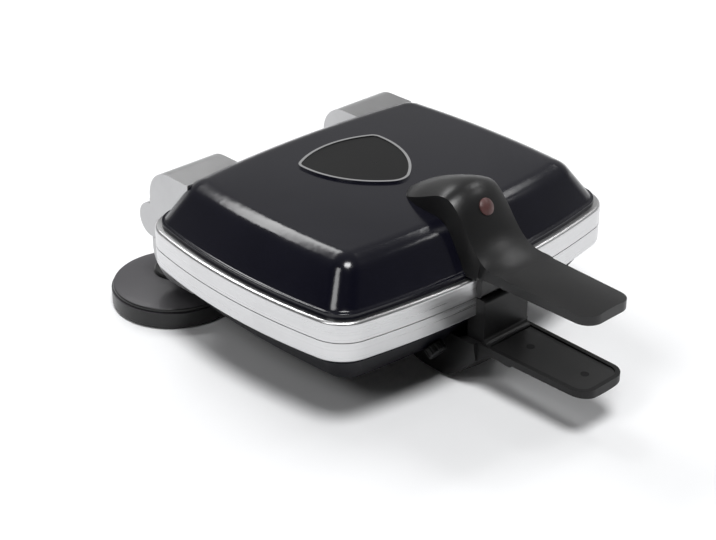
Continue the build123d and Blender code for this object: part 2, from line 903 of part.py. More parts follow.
def power_inlet():
    """The gland on the lower shell's rear slope, with a bore for the lead."""
    middle = Vector(0, end_wall_y(inlet_level), -inlet_level)
    back = Vector(0, 1, 0)
    front_end = middle - back * inlet_reach
    back_end = middle + back * inlet_reach
    body = rod(inlet_radius, middle - back * inlet_sink, middle + back * inlet_stand_off)
    body = chamfer(body.faces().sort_by(Axis.Y)[-1].edges(), inlet_chamfer)
    body = body - rod(inlet_bore_radius, front_end, back_end)
    return body, rod(inlet_radius + inlet_clearance, front_end, back_end)


def knob_axis():
    """The thermostat knob's place on the lower shell's front slope, and the way it points."""
    surface_y = -end_wall_y(knob_level)
    normal = Vector(0, -math.sin(wall_slope_end), -math.cos(wall_slope_end))
    return Vector(knob_x, surface_y + knob_bow, -knob_level), normal


def thermostat_knob():
    """A ribbed knob with a pointer line and a short shaft."""
    middle, normal = knob_axis()
    start = middle + normal * knob_gap
    body = rod(knob_radius, start, start + normal * knob_height)
    body = chamfer(body.edges().filter_by(GeomType.CIRCLE), knob_chamfer)
    plane = Plane(origin=start + normal * (knob_height / 2), z_dir=normal)
    for index in range(knob_notches):
        notch = Rot(0, 0, index * 360 / knob_notches) * Pos(knob_radius + knob_notch_radius / 2, 0, 0)
        body = body - plane * notch * Cylinder(knob_notch_radius, knob_height + 2)
    pointer = plane * Pos(0, knob_radius / 2, knob_height / 2)
    body = body - pointer * Box(knob_pointer_width, knob_radius * 0.8, knob_pointer_width)
    return body + rod(knob_shaft_radius, start - normal * knob_shaft_length, start + normal)


def thermostat():
    """The thermostat body behind the knob, bored for its shaft."""
    middle, normal = knob_axis()
    start = middle - normal * (shell_wall + thermostat_gap)
    body = rod(thermostat_radius, start - normal * thermostat_height, start)
    bore_end = start - normal * (thermostat_height - thermostat_floor)
    return body - rod(knob_shaft_radius + axle_clearance, bore_end, start + normal)


def badge_outline(inset=0.0):
    """A rounded three-cornered shield with bowed sides, bare of any mark, moved inwards by a distance."""
    left = (-badge_half_width, badge_shoulder_y)
    right = (badge_half_width, badge_shoulder_y)
    tip = (0, badge_tip_y)
    back = (0, badge_back_y)
    sides = [
        ThreePointArc(left, back, right),
        ThreePointArc(right, (badge_waist_x, badge_waist_y), tip),
        ThreePointArc(tip, (-badge_waist_x, badge_waist_y), left),
    ]
    face = Circle(4 * badge_half_width)
    for side in sides:
        centre = side.arc_center
        face = face & (Pos(centre.X, centre.Y) * Circle(side.radius - inset))
    front = face.vertices().sort_by(Axis.Y)[0]
    face = fillet(front, badge_tip_round - inset)
    shoulders = face.vertices().sort_by(lambda v: -abs(v.X))[:2]
    return fillet(shoulders, badge_corner_round - inset)


def badge_rim():
    """The bright rim of the badge."""
    ring = badge_outline() - badge_outline(badge_rim_width)
    return slab(ring, shell_top + 0.02, shell_top + badge_rim_height)


def badge_plate():
    """The dark field inside the rim."""
    return slab(badge_outline(badge_rim_width + 0.05), shell_top + 0.02, shell_top + badge_thickness)


def terminal_block():
    """The terminal block inside the lower half's rear."""
    x, y, z = terminal_block_size
    level = -(frame_height + reflector_depth + 1 + z / 2)
    body = Pos(0, half_depth - shell_inset - shell_lean_end - y, level) * Box(x, y, z)
    return fillet(body.edges().filter_by(Axis.Z), 2.0)


def thermal_fuse():
    """The fuse behind the upper reflector."""
    level = frame_height + reflector_depth + fuse_radius + 0.5
    return rod(fuse_radius, (-fuse_length / 2, 40, level), (fuse_length / 2, 40, level))


def shell_screws():
    result = None
    for x, y in shell_screw_places():
        one = screw((x, y, plate_back), (0, 0, 1), shell_screw_length)
        result = one if result is None else result + one
    return result


def handle_screws():
    result = None
    for sx in (-1, 1):
        start = (sx * handle_screw_x, handle_screw_y, shell_top - shell_wall)
        one = screw(start, (0, 0, 1), handle_screw_length)
        result = one if result is None else result + one
    return result


def front_foot_pad():
    """The rubber sole under the lower handle's hood."""
    w = front_foot_half_width - front_foot_pad_margin
    lid_front = -half_depth + shell_inset + shell_lean_end
    face = Pos(0, lid_front + 8) * RectangleRounded(2 * w, 26, 8)
    return slab(face, front_foot_level, table_drop)


def both_sides(nodes, name, shape):
    """A right-hand piece and its mirror image on the left."""
    nodes[name + "_right"] = shape
    nodes[name + "_left"] = mirror(shape, Plane.YZ)


def both_halves(nodes, name, shape):
    """A piece of the lid and its mirror image in the lower half."""
    nodes["upper_" + name] = shape
    nodes["lower_" + name] = lower(shape)


def build():
    """All nodes by name, in the body's own axes."""
    nodes = {}
    covered = shell_cuts_for_handle(shell())
    nodes["lid_shell"] = covered
    inlet, inlet_hole = power_inlet()
    middle, normal = knob_axis()
    shaft_hole = rod(knob_shaft_radius + 0.3, middle - normal * 8, middle + normal * 4)
    nodes["lower_shell"] = lower(covered) - inlet_hole - shaft_hole
    nodes["power_inlet"] = inlet
    nodes["lid_frame"] = frame("lid")
    nodes["lower_frame"] = lower(frame("lower"))
    both_halves(nodes, "waffle_plate", waffle_plate())
    both_halves(nodes, "plate_screws", plate_screws())
    both_halves(nodes, "heating_element", heating_element())
    both_halves(nodes, "reflector", reflector())
    both_halves(nodes, "shell_screws", shell_screws())
    both_halves(nodes, "handle_screws", handle_screws())
    above = upper_grip()
    nodes["upper_handle"] = one_solid(finish_handle(handle(above), above) - lamp_seat())
    nodes["upper_grip_cover"] = grip_cover(above)
    nodes["upper_cover_screws"] = cover_screws(above)
    below = lower_grip()
    nodes["lower_handle"] = lower(finish_handle(handle(below), below))
    nodes["lower_grip_cover"] = lower(grip_cover(below))
    nodes["lower_cover_screws"] = lower(cover_screws(below))
    nodes["pilot_lamp_lens"] = lamp_lens()
    nodes["pilot_lamp_holder"] = lamp_holder()
    nodes["badge_rim"] = badge_rim()
    nodes["badge_plate"] = badge_plate()
    both_sides(nodes, "lid_hinge_arm", hinge_arm("lid"))
    both_sides(nodes, "lower_hinge_arm", lower(hinge_arm("lower")))
    nodes["lid_hinge_screws"] = hinge_screws("lid")
    nodes["lower_hinge_screws"] = lower(hinge_screws("lower"))
    nodes["hinge_axle"] = hinge_axle()
    both_sides(nodes, "hinge_post", hinge_post())
    both_sides(nodes, "foot_disc", foot_disc())
    both_sides(nodes, "foot_pad", foot_pad_ring())
    nodes["post_screws"] = post_screws()
    nodes["front_foot_pad"] = lower(front_foot_pad())
    nodes["thermostat_knob"] = thermostat_knob()
    nodes["thermostat"] = thermostat()
    nodes["terminal_block"] = terminal_block()
    nodes["thermal_fuse"] = thermal_fuse()
    return nodes


def main():
    os.makedirs("parts", exist_ok=True)
    back = foot_y + foot_radius
    shift = -(tip_y + back) / 2
    for name, shape in build().items():
        export_step(Pos(0, shift, table_drop) * shape, f"parts/{name}.step")
        print(name, len(shape.solids()), shape.is_valid)


if __name__ == "__main__":
    main()
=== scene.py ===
import json
import math

import bpy
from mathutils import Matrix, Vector


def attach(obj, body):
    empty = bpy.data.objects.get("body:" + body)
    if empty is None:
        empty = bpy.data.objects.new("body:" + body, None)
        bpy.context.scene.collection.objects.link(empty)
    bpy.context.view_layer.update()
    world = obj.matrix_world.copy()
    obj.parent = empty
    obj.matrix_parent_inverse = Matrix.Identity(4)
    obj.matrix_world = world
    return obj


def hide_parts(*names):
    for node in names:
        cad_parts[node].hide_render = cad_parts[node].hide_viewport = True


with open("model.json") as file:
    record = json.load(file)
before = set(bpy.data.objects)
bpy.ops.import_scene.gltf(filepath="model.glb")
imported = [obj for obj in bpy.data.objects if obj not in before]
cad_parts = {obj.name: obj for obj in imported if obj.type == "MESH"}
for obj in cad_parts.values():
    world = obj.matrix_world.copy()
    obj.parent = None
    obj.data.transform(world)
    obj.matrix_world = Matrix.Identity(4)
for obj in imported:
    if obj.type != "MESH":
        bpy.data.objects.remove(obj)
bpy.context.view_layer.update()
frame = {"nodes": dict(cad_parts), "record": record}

bl_info = {
    "name": "Sandwich and waffle maker",
    "version": (1, 0, 0),
    "blender": (4, 5, 0),
    "location": "View3D > Sidebar > Waffle maker",
    "description": "Dresses the solids of a sandwich and waffle maker and sets a small studio round it",
    "category": "Object",
}


# Sizes and colours that a user would change


class WaffleMakerShape(bpy.types.PropertyGroup):
    """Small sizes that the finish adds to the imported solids."""

    lamp_overlap: bpy.props.FloatProperty(
        name="Lamp overlap",
        description="How far the lamp's window covers the rim of its hole",
        default=0.0011,
        unit="LENGTH",
    )


class WaffleMakerFinish(bpy.types.PropertyGroup):
    """Colours of the finishes, as linear values."""

    shell: bpy.props.FloatVectorProperty(
        name="Shell",
        description="Gloss plastic of the two shells",
        default=(0.0042, 0.0042, 0.0085),
        size=3,
        subtype="COLOR",
    )
    moulding: bpy.props.FloatVectorProperty(
        name="Moulding",
        description="Matt plastic of handles and feet",
        default=(0.0075, 0.0075, 0.0078),
        size=3,
        subtype="COLOR",
    )
    aluminium: bpy.props.FloatVectorProperty(
        name="Aluminium",
        description="Satin aluminium of the frames",
        default=(0.65, 0.65, 0.655),
        size=3,
        subtype="COLOR",
    )
    silver: bpy.props.FloatVectorProperty(
        name="Silver",
        description="Silver finish of the hinge arms",
        default=(0.5, 0.5, 0.505),
        size=3,
        subtype="COLOR",
    )
    coating: bpy.props.FloatVectorProperty(
        name="Coating",
        description="Non-stick coating of the plates",
        default=(0.018, 0.018, 0.019),
        size=3,
        subtype="COLOR",
    )
    lamp: bpy.props.FloatVectorProperty(
        name="Lamp",
        description="Clear red-brown window of the lamp",
        default=(0.085, 0.034, 0.032),
        size=3,
        subtype="COLOR",
    )


def shape():
    return bpy.context.scene.waffle_maker_shape


def finish():
    return bpy.context.scene.waffle_maker_finish


# Shader building

COLUMN_WIDTH = 220
ROW_HEIGHT = 180


def place(tree, kind, column, row, **values):
    """A new shader node at a grid place, with values set on its properties or inputs."""
    node = tree.nodes.new(kind)
    node.location = (column * COLUMN_WIDTH, -row * ROW_HEIGHT)
    for key, value in values.items():
        if hasattr(node, key):
            setattr(node, key, value)
        else:
            node.inputs[key.replace("_", " ")].default_value = value
    return node


def link(tree, start, end):
    tree.links.new(start, end)


def group_tree(name, inputs, outputs):
    """A shader node group with float or vector inputs and float outputs."""
    tree = bpy.data.node_groups.new(name, "ShaderNodeTree")
    for label, kind, default in inputs:
        socket = tree.interface.new_socket(label, in_out="INPUT", socket_type=kind)
        if default is not None:
            socket.default_value = default
    for label in outputs:
        tree.interface.new_socket(label, in_out="OUTPUT", socket_type="NodeSocketFloat")
    start = place(tree, "NodeGroupInput", -4, 0)
    end = place(tree, "NodeGroupOutput", 4, 0)
    return tree, start, end


def grain_group():
    """Fine spark-eroded grain: a height for bumps and a slow tone for colour and roughness."""
    if "Moulded grain" in bpy.data.node_groups:
        return bpy.data.node_groups["Moulded grain"]
    inputs = [
        ("Vector", "NodeSocketVector", None),
        ("Scale", "NodeSocketFloat", 900.0),
        ("Slow scale", "NodeSocketFloat", 18.0),
    ]
    tree, start, end = group_tree("Moulded grain", inputs, ["Height", "Tone"])
    fine = place(tree, "ShaderNodeTexNoise", -2, 0, Detail=3.0, Roughness=0.65)
    slow = place(tree, "ShaderNodeTexNoise", -2, 1, Detail=4.0, Roughness=0.55)
    for node, label in ((fine, "Scale"), (slow, "Slow scale")):
        link(tree, start.outputs["Vector"], node.inputs["Vector"])
        link(tree, start.outputs[label], node.inputs["Scale"])
    link(tree, fine.outputs["Fac"], end.inputs["Height"])
    link(tree, slow.outputs["Fac"], end.inputs["Tone"])
    return tree


def streak_group():
    """Drawn or brushed metal: streaks along a stretched direction, with a slow stain."""
    if "Brushed streaks" in bpy.data.node_groups:
        return bpy.data.node_groups["Brushed streaks"]
    inputs = [
        ("Vector", "NodeSocketVector", None),
        ("Stretch", "NodeSocketVector", (6.0, 6.0, 900.0)),
        ("Stain scale", "NodeSocketFloat", 14.0),
    ]
    tree, start, end = group_tree("Brushed streaks", inputs, ["Streak", "Stain"])
    turn = place(tree, "ShaderNodeVectorMath", -3, 0, operation="MULTIPLY")
    link(tree, start.outputs["Vector"], turn.inputs[0])
    link(tree, start.outputs["Stretch"], turn.inputs[1])
    streak = place(tree, "ShaderNodeTexNoise", -2, 0, Scale=1.0, Detail=3.0, Roughness=0.6)
    link(tree, turn.outputs[0], streak.inputs["Vector"])
    stain = place(tree, "ShaderNodeTexNoise", -2, 1, Detail=5.0, Roughness=0.6)
    link(tree, start.outputs["Vector"], stain.inputs["Vector"])
    link(tree, start.outputs["Stain scale"], stain.inputs["Scale"])
    link(tree, streak.outputs["Fac"], end.inputs["Streak"])
    link(tree, stain.outputs["Fac"], end.inputs["Stain"])
    return tree


def handling_group():
    """Faint rubs and dust specks left by use, as two masks."""
    if "Handling marks" in bpy.data.node_groups:
        return bpy.data.node_groups["Handling marks"]
    inputs = [
        ("Vector", "NodeSocketVector", None),
        ("Rub scale", "NodeSocketFloat", 9.0),
        ("Speck scale", "NodeSocketFloat", 380.0),
    ]
    tree, start, end = group_tree("Handling marks", inputs, ["Rub", "Speck"])
    rub = place(tree, "ShaderNodeTexNoise", -3, 0, Detail=6.0, Roughness=0.6, Distortion=0.4)
    link(tree, start.outputs["Vector"], rub.inputs["Vector"])
    link(tree, start.outputs["Rub scale"], rub.inputs["Scale"])
    rub_range = place(tree, "ShaderNodeMapRange", -1, 0, From_Min=0.48, From_Max=0.75)
    link(tree, rub.outputs["Fac"], rub_range.inputs["Value"])
    speck = place(tree, "ShaderNodeTexVoronoi", -3, 1)
    link(tree, start.outputs["Vector"], speck.inputs["Vector"])
    link(tree, start.outputs["Speck scale"], speck.inputs["Scale"])
    speck_range = place(tree, "ShaderNodeMapRange", -1, 1, From_Min=0.12, From_Max=0.05)
    link(tree, speck.outputs["Distance"], speck_range.inputs["Value"])
    link(tree, rub_range.outputs["Result"], end.inputs["Rub"])
    link(tree, speck_range.outputs["Result"], end.inputs["Speck"])
    return tree


def start_material(name, **settings):
    """A material with its Principled shader, and the coordinates that its patterns use."""
    made = bpy.data.materials.new(name)
    made.use_nodes = True
    tree = made.node_tree
    shader = tree.nodes["Principled BSDF"]
    shader.location = (4 * COLUMN_WIDTH, 0)
    tree.nodes["Material Output"].location = (6 * COLUMN_WIDTH, 0)
    for label, value in settings.items():
        shader.inputs[label.replace("_", " ")].default_value = value
    where = place(tree, "ShaderNodeTexCoord", -4, 0)
    return made, tree, shader, where.outputs["Object"]


def use_group(tree, group, coordinates, column, row, **values):
    """A shared node group in a material, with that material's own values."""
    node = place(tree, "ShaderNodeGroup", column, row, node_tree=group)
    link(tree, coordinates, node.inputs["Vector"])
    for label, value in values.items():
        node.inputs[label.replace("_", " ")].default_value = value
    return node


def between(tree, mask, low, high, column, row):
    """A colour that goes from one to another by a mask."""
    node = place(tree, "ShaderNodeMix", column, row, data_type="RGBA")
    link(tree, mask, node.inputs["Factor"])
    node.inputs["A"].default_value = (*low, 1)
    node.inputs["B"].default_value = (*high, 1)
    return node.outputs["Result"]


def spread(tree, value, low, high, column, row, start=0.3, end=0.7):
    """A value of a pattern mapped to a narrow span, such as roughness."""
    limits = {"From_Min": start, "From_Max": end, "To_Min": low, "To_Max": high}
    node = place(tree, "ShaderNodeMapRange", column, row, **limits)
    link(tree, value, node.inputs["Value"])
    return node.outputs["Result"]


def relief(tree, shader, height, strength, distance, column, row):
    """Gives a shader a relief of a height pattern."""
    node = place(tree, "ShaderNodeBump", column, row, Strength=strength, Distance=distance)
    link(tree, height, node.inputs["Height"])
    link(tree, node.outputs["Normal"], shader.inputs["Normal"])


def scaled(colour, factor):
    """A colour made darker or paler."""
    return tuple(min(channel * factor, 1.0) for channel in colour)


def speckled(tree, shader, base, speck_colour, marks):
    """Puts specks of another colour over a base colour."""
    node = place(tree, "ShaderNodeMix", 2, 0, data_type="RGBA")
    link(tree, base, node.inputs["A"])
    node.inputs["B"].default_value = (*speck_colour, 1)
    link(tree, marks.outputs["Speck"], node.inputs["Factor"])
    link(tree, node.outputs["Result"], shader.inputs["Base Color"])


# How far the patterns change a colour, as factors, and a roughness; heights of reliefs in metres
PLASTIC_DARK, PLASTIC_PALE, DUST_PALE = 0.85, 1.2, 2.2
PLASTIC_SMOOTHER, PLASTIC_ROUGHER, RUB_ROUGHER = 0.04, 0.03, 0.06
METAL_DARK, METAL_PALE, METAL_ROUGH_SPAN = 0.88, 1.08, 0.06
COATING_DARK, COATING_PALE, FLECK_PALE = 0.8, 1.25, 5.0
LAMP_DARK, LAMP_PALE = 0.7, 1.5
STAIN_START, STAIN_END = 0.5, 0.8
GRAIN_HEIGHT, STREAK_HEIGHT, COATING_HEIGHT = 0.0002, 0.0001, 0.0003


def moulded_plastic(name, colour, rough, grain_scale, grain_depth, **settings):
    """Plastic out of a mould: fine grain, slow changes of tone, faint rubs and specks of dust."""
    made, tree, shader, here = start_material(name, **settings)
    grain = use_group(tree, grain_group(), here, -2, 0, Scale=grain_scale)
    marks = use_group(tree, handling_group(), here, -2, 2)
    dark, pale = scaled(colour, PLASTIC_DARK), scaled(colour, PLASTIC_PALE)
    base = between(tree, grain.outputs["Tone"], dark, pale, 0, 0)
    speckled(tree, shader, base, scaled(colour, DUST_PALE), marks)
    tone = spread(tree, grain.outputs["Tone"], rough - PLASTIC_SMOOTHER, rough + PLASTIC_ROUGHER, 0, 1)
    rub = place(tree, "ShaderNodeMath", 2, 1, operation="MULTIPLY_ADD")
    link(tree, marks.outputs["Rub"], rub.inputs[0])
    rub.inputs[1].default_value = RUB_ROUGHER
    link(tree, tone, rub.inputs[2])
    link(tree, rub.outputs[0], shader.inputs["Roughness"])
    relief(tree, shader, grain.outputs["Height"], grain_depth, GRAIN_HEIGHT, 2, 2)
    return made


def drawn_metal(name, colour, rough, stretch, depth, stain=0.85):
    """Metal with streaks along one way, darker stains and a fine relief."""
    made, tree, shader, here = start_material(name, Metallic=1.0)
    streaks = use_group(tree, streak_group(), here, -2, 0, Stretch=stretch)
    dark, pale = scaled(colour, METAL_DARK), scaled(colour, METAL_PALE)
    base = between(tree, streaks.outputs["Streak"], dark, pale, 0, 0)
    stained = place(tree, "ShaderNodeMix", 2, 0, data_type="RGBA", blend_type="MULTIPLY")
    stains = spread(tree, streaks.outputs["Stain"], 0.0, 1.0, 0, 1, STAIN_START, STAIN_END)
    link(tree, stains, stained.inputs["Factor"])
    link(tree, base, stained.inputs["A"])
    stained.inputs["B"].default_value = (stain, stain, stain, 1)
    link(tree, stained.outputs["Result"], shader.inputs["Base Color"])
    smooth, coarse = rough - METAL_ROUGH_SPAN, rough + METAL_ROUGH_SPAN
    link(tree, spread(tree, streaks.outputs["Streak"], smooth, coarse, 0, 2), shader.inputs["Roughness"])
    relief(tree, shader, streaks.outputs["Streak"], depth, STREAK_HEIGHT, 2, 2)
    return made


def make_materials():
    """Every finish by name."""
    tint = finish()
    black, plain, low_shine = tint.shell, tint.moulding, "Specular_IOR_Level"
    # Plastics: material name, colour, roughness, scale and depth of the grain, shader settings
    plastics = {
        "shell": ("gloss_shell_plastic", black, 0.16, 1400.0, 0.03, {"IOR": 1.45}),
        # The lower shell is the shell plastic at half its colour and with little shine: painted shade, as
        # it lies in shade below.
        "shaded_underside": ("lower_shell_plastic", scaled(black, 0.5), 0.4, 1400.0, 0.1, {low_shine: 0.1}),
        "moulding": ("matt_handle_plastic", plain, 0.34, 1900.0, 0.2, {"IOR": 1.45}),
        "low_moulding": ("lower_handle_plastic", plain, 0.36, 1900.0, 0.2, {low_shine: 0.25}),
        # The foot top is a lighter plastic put on the discs' upward faces: painted light from above.
        "foot_top": ("foot_top_plastic", (0.05, 0.048, 0.053), 0.42, 1700.0, 0.2, {"IOR": 1.45}),
        "inlay": ("grip_inlay_plastic", scaled(plain, 0.8), 0.34, 1500.0, 0.12, {}),
        "badge": ("badge_field_lacquer", (0.004, 0.004, 0.0042), 0.3, 700.0, 0.04, {"IOR": 1.3}),
        "rubber": ("foot_rubber", (0.012, 0.012, 0.012), 0.78, 1100.0, 0.4, {}),
        "ceramic": ("insulator_ceramic", (0.55, 0.52, 0.45), 0.55, 1300.0, 0.2, {}),
    }
    # Metals: material name, colour, roughness, stretch and depth of the streaks, darkness of stains
    metals = {
        "band": ("satin_band_aluminium", tint.aluminium, 0.32, (5.0, 5.0, 1400.0), 0.04, 0.92),
        "silver": ("silver_hinge_aluminium", tint.silver, 0.36, (900.0, 60.0, 60.0), 0.08),
        "zinc": ("zinc_screw_steel", (0.6, 0.61, 0.6), 0.28, (600.0, 600.0, 90.0), 0.1),
        "blacked": ("blacked_screw_steel", (0.03, 0.03, 0.031), 0.45, (600.0, 600.0, 90.0), 0.1),
        "steel": ("axle_steel", (0.56, 0.56, 0.57), 0.22, (900.0, 40.0, 40.0), 0.1),
        "reflector": ("bright_reflector_sheet", (0.8, 0.8, 0.8), 0.18, (12.0, 900.0, 12.0), 0.08),
        "chrome": ("badge_rim_chrome", (0.86, 0.86, 0.87), 0.1, (60.0, 60.0, 60.0), 0.02, 0.95),
    }
    made = {key: moulded_plastic(*values, **settings) for key, (*values, settings) in plastics.items()}
    made.update({key: drawn_metal(*values) for key, values in metals.items()})
    made["coating"] = coated_plate(tint.coating)
    made["element"] = heated_tube()
    made["lamp"] = lamp_window(tint.lamp)
    return made


def coated_plate(colour):
    """Sprayed non-stick coating over cast metal: soft pits below, fine pale specks above."""
    made, tree, shader, here = start_material("nonstick_coating", Coat_Weight=0.3, Coat_Roughness=0.25)
    grain = use_group(tree, grain_group(), here, -2, 0, Scale=700.0, Slow_scale=30.0)
    marks = use_group(tree, handling_group(), here, -2, 2, Speck_scale=900.0)
    dark, pale = scaled(colour, COATING_DARK), scaled(colour, COATING_PALE)
    base = between(tree, grain.outputs["Tone"], dark, pale, 0, 0)
    speckled(tree, shader, base, scaled(colour, FLECK_PALE), marks)
    link(tree, spread(tree, grain.outputs["Tone"], 0.34, 0.48, 0, 1), shader.inputs["Roughness"])
    relief(tree, shader, grain.outputs["Height"], 0.2, COATING_HEIGHT, 2, 2)
    return made


def heated_tube():
    """Stainless tube, browned unevenly by heat."""
    made, tree, shader, here = start_material("browned_element_steel", Metallic=1.0)
    even = (300.0, 300.0, 300.0)
    streaks = use_group(tree, streak_group(), here, -2, 0, Stretch=even, Stain_scale=22.0)
    base = between(tree, streaks.outputs["Stain"], (0.2, 0.15, 0.12), (0.42, 0.4, 0.39), 0, 0)
    link(tree, base, shader.inputs["Base Color"])
    link(tree, spread(tree, streaks.outputs["Streak"], 0.3, 0.5, 0, 1), shader.inputs["Roughness"])
    relief(tree, shader, streaks.outputs["Streak"], 0.15, GRAIN_HEIGHT, 2, 1)
    return made


def lamp_window(colour):
    """Clear coloured plastic with fine rings moulded behind its face."""
    made, tree, shader, here = start_material(
        "lamp_window_plastic", Transmission_Weight=0.15, IOR=1.4, Coat_Weight=0.2, Coat_Roughness=0.3
    )
    grain = use_group(tree, grain_group(), here, -2, 0, Scale=500.0, Slow_scale=160.0)
    dark, pale = scaled(colour, LAMP_DARK), scaled(colour, LAMP_PALE)
    base = between(tree, grain.outputs["Tone"], dark, pale, 0, 0)
    link(tree, base, shader.inputs["Base Color"])
    link(tree, spread(tree, grain.outputs["Tone"], 0.38, 0.48, 0, 1), shader.inputs["Roughness"])
    rings = place(tree, "ShaderNodeTexWave", -2, 3, wave_type="BANDS", bands_direction="Z", Scale=420.0)
    link(tree, here, rings.inputs["Vector"])
    relief(tree, shader, rings.outputs["Fac"], 0.2, GRAIN_HEIGHT, 2, 2)
    return made


MATERIALS = {}


def material(key):
    """A finish by its name; all are made when the first is asked for."""
    if not MATERIALS:
        MATERIALS.update(make_materials())
    return MATERIALS[key]


# Modelling helpers

MERGE_DISTANCE = 0.000004
UPPER_FACE_SLOPE = 0.8
PLAIN_ANGLE = 32.0
BODY_ANGLE = 28.0
PLATE_ANGLE = 25.0
HINGE_ANGLE = 35.0
ROUND_ANGLE = 40.0


def only(piece):
    """Makes one object the active and only selected one."""
    for other in bpy.context.selected_objects:
        other.select_set(False)
    piece.select_set(True)
    bpy.context.view_layer.objects.active = piece


def dress(node, key, angle=PLAIN_ANGLE):
    """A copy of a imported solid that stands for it, smooth where its faces meet at less than an angle."""
    piece = bpy.data.objects.new(node + "_skin", frame["nodes"][node].data.copy())
    piece.data.name = piece.name
    bpy.context.scene.collection.objects.link(piece)
    only(piece)
    bpy.ops.object.mode_set(mode="EDIT")
    bpy.ops.mesh.select_all(action="SELECT")
    bpy.ops.mesh.remove_doubles(threshold=MERGE_DISTANCE)
    bpy.ops.mesh.customdata_custom_splitnormals_clear()
    bpy.ops.object.mode_set(mode="OBJECT")
    bpy.ops.object.shade_smooth_by_angle(angle=math.radians(angle))
    piece.data.materials.clear()
    piece.data.materials.append(material(key))
    bodies = frame["record"]["behaviour"]["bodies"]
    body = next(name for name, members in bodies.items() if node in members)
    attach(piece, body)
    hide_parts(node)
    return piece


def dress_all(nodes, key, angle=PLAIN_ANGLE):
    """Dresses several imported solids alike."""
    for node in nodes:
        dress(node, key, angle)


def paint_light_on_upper_faces(piece, key):
    """Gives the faces that look up a lighter second material: painted light, as from a lamp above."""
    piece.data.materials.append(material(key))
    for face in piece.data.polygons:
        if face.normal.z > UPPER_FACE_SLOPE:
            face.material_index = 1


def widen(piece, amount):
    """Makes a piece larger, by an amount on each side along X, about its own centre."""
    corners = [Vector(corner) for corner in piece.bound_box]
    middle = sum(corners, Vector()) / len(corners)
    factor = 1.0 + 2.0 * amount / (corners[6] - corners[0]).x
    only(piece)
    bpy.ops.object.mode_set(mode="EDIT")
    bpy.ops.mesh.select_all(action="SELECT")
    bpy.ops.transform.resize(value=(factor, factor, factor), center_override=middle)
    bpy.ops.object.mode_set(mode="OBJECT")


class WAFFLE_OT_shells(bpy.types.Operator):
    """Smooth skins of the lid's shell and the lower shell"""

    bl_idname = "waffle.shells"
    bl_label = "Shells"

    def execute(self, context):
        dress("lid_shell", "shell", BODY_ANGLE)
        # The lower shell takes the darker, duller copy of the shell plastic: painted shade.
        dress("lower_shell", "shaded_underside", BODY_ANGLE)
        return {"FINISHED"}


class WAFFLE_OT_bands(bpy.types.Operator):
    """The two satin aluminium frames"""

    bl_idname = "waffle.bands"
    bl_label = "Metal bands"

    def execute(self, context):
        dress_all(("lid_frame", "lower_frame"), "band", BODY_ANGLE)
        return {"FINISHED"}


class WAFFLE_OT_handles(bpy.types.Operator):
    """The hooded handles and the inlays in their grips"""

    bl_idname = "waffle.handles"
    bl_label = "Handles"

    def execute(self, context):
        dress("upper_handle", "moulding", ROUND_ANGLE)
        dress("lower_handle", "low_moulding", ROUND_ANGLE)
        dress_all(("upper_grip_cover", "lower_grip_cover"), "inlay")
        return {"FINISHED"}


class WAFFLE_OT_hinge(bpy.types.Operator):
    """Hinge arms, axle and posts"""

    bl_idname = "waffle.hinge"
    bl_label = "Hinge"

    def execute(self, context):
        for side in ("left", "right"):
            arms = ("lid_hinge_arm_" + side, "lower_hinge_arm_" + side)
            dress_all(arms, "silver", HINGE_ANGLE)
            dress("hinge_post_" + side, "moulding", HINGE_ANGLE)
        dress("hinge_axle", "steel")
        return {"FINISHED"}


class WAFFLE_OT_feet(bpy.types.Operator):
    """Round rear feet, their rubber rings and the front sole"""

    bl_idname = "waffle.feet"
    bl_label = "Feet"

    def execute(self, context):
        for side in ("left", "right"):
            # The upward faces of the foot discs get the lighter foot-top plastic: painted light.
            paint_light_on_upper_faces(dress("foot_disc_" + side, "moulding"), "foot_top")
            dress("foot_pad_" + side, "rubber")
        dress("front_foot_pad", "rubber")
        return {"FINISHED"}


class WAFFLE_OT_trim(bpy.types.Operator):
    """Badge, lamp, knob and lead inlet"""

    bl_idname = "waffle.trim"
    bl_label = "Trim"

    def execute(self, context):
        dress("badge_rim", "chrome")
        dress("badge_plate", "badge")
        widen(dress("pilot_lamp_lens", "lamp", ROUND_ANGLE), shape().lamp_overlap)
        dress("thermostat_knob", "low_moulding", HINGE_ANGLE)
        dress("power_inlet", "moulding")
        return {"FINISHED"}


class WAFFLE_OT_inside(bpy.types.Operator):
    """Cooking plates, heating parts and every screw"""

    bl_idname = "waffle.inside"
    bl_label = "Inside"

    def execute(self, context):
        for half in ("upper", "lower"):
            dress(half + "_waffle_plate", "coating", PLATE_ANGLE)
            dress(half + "_heating_element", "element", ROUND_ANGLE)
            dress(half + "_reflector", "reflector")
            dress(half + "_cover_screws", "blacked")
            for kind in ("plate", "shell", "handle"):
                dress(half + "_" + kind + "_screws", "zinc")
        dress_all(("lid_hinge_screws", "lower_hinge_screws", "post_screws"), "zinc")
        sockets = ("terminal_block", "thermostat", "thermal_fuse", "pilot_lamp_holder")
        dress_all(sockets, "ceramic")
        return {"FINISHED"}


# Studio

FLOOR_SIZE = 60.0
FLOOR_CUTS = 3
CAMERA_PLACE = (-0.7549, -0.7572, 0.6314)
CAMERA_AZIMUTH = -43.287
CAMERA_ELEVATION = 28.678
CAMERA_LENS = 83.92
CAMERA_SENSOR = 36.0
CAMERA_NEAREST = 0.05
KEY_FROM = (-0.2, -0.3, 1.0)
KEY_STRENGTH = 2.2
KEY_SPREAD = 20.0
LIGHT_DISTANCE = 2.0
# Soft boxes as seen from the object: azimuth, elevation, width and height in degrees, and radiance
SOFT_BOXES = {
    "back_softbox": (86, 49, 34, 10, 9.0),
    "right_softbox": (4, 50, 18, 7, 8.0),
    "front_right_softbox": (-30, 46, 12, 6, 8.0),
    "left_strip": (-172, 44, 12, 16, 8.0),
}
ROOM_MIDDLE = 0.14
ROOM_SLOPE = (0.23, 0.17, 0.0)
HORIZON_TOP = 0.14


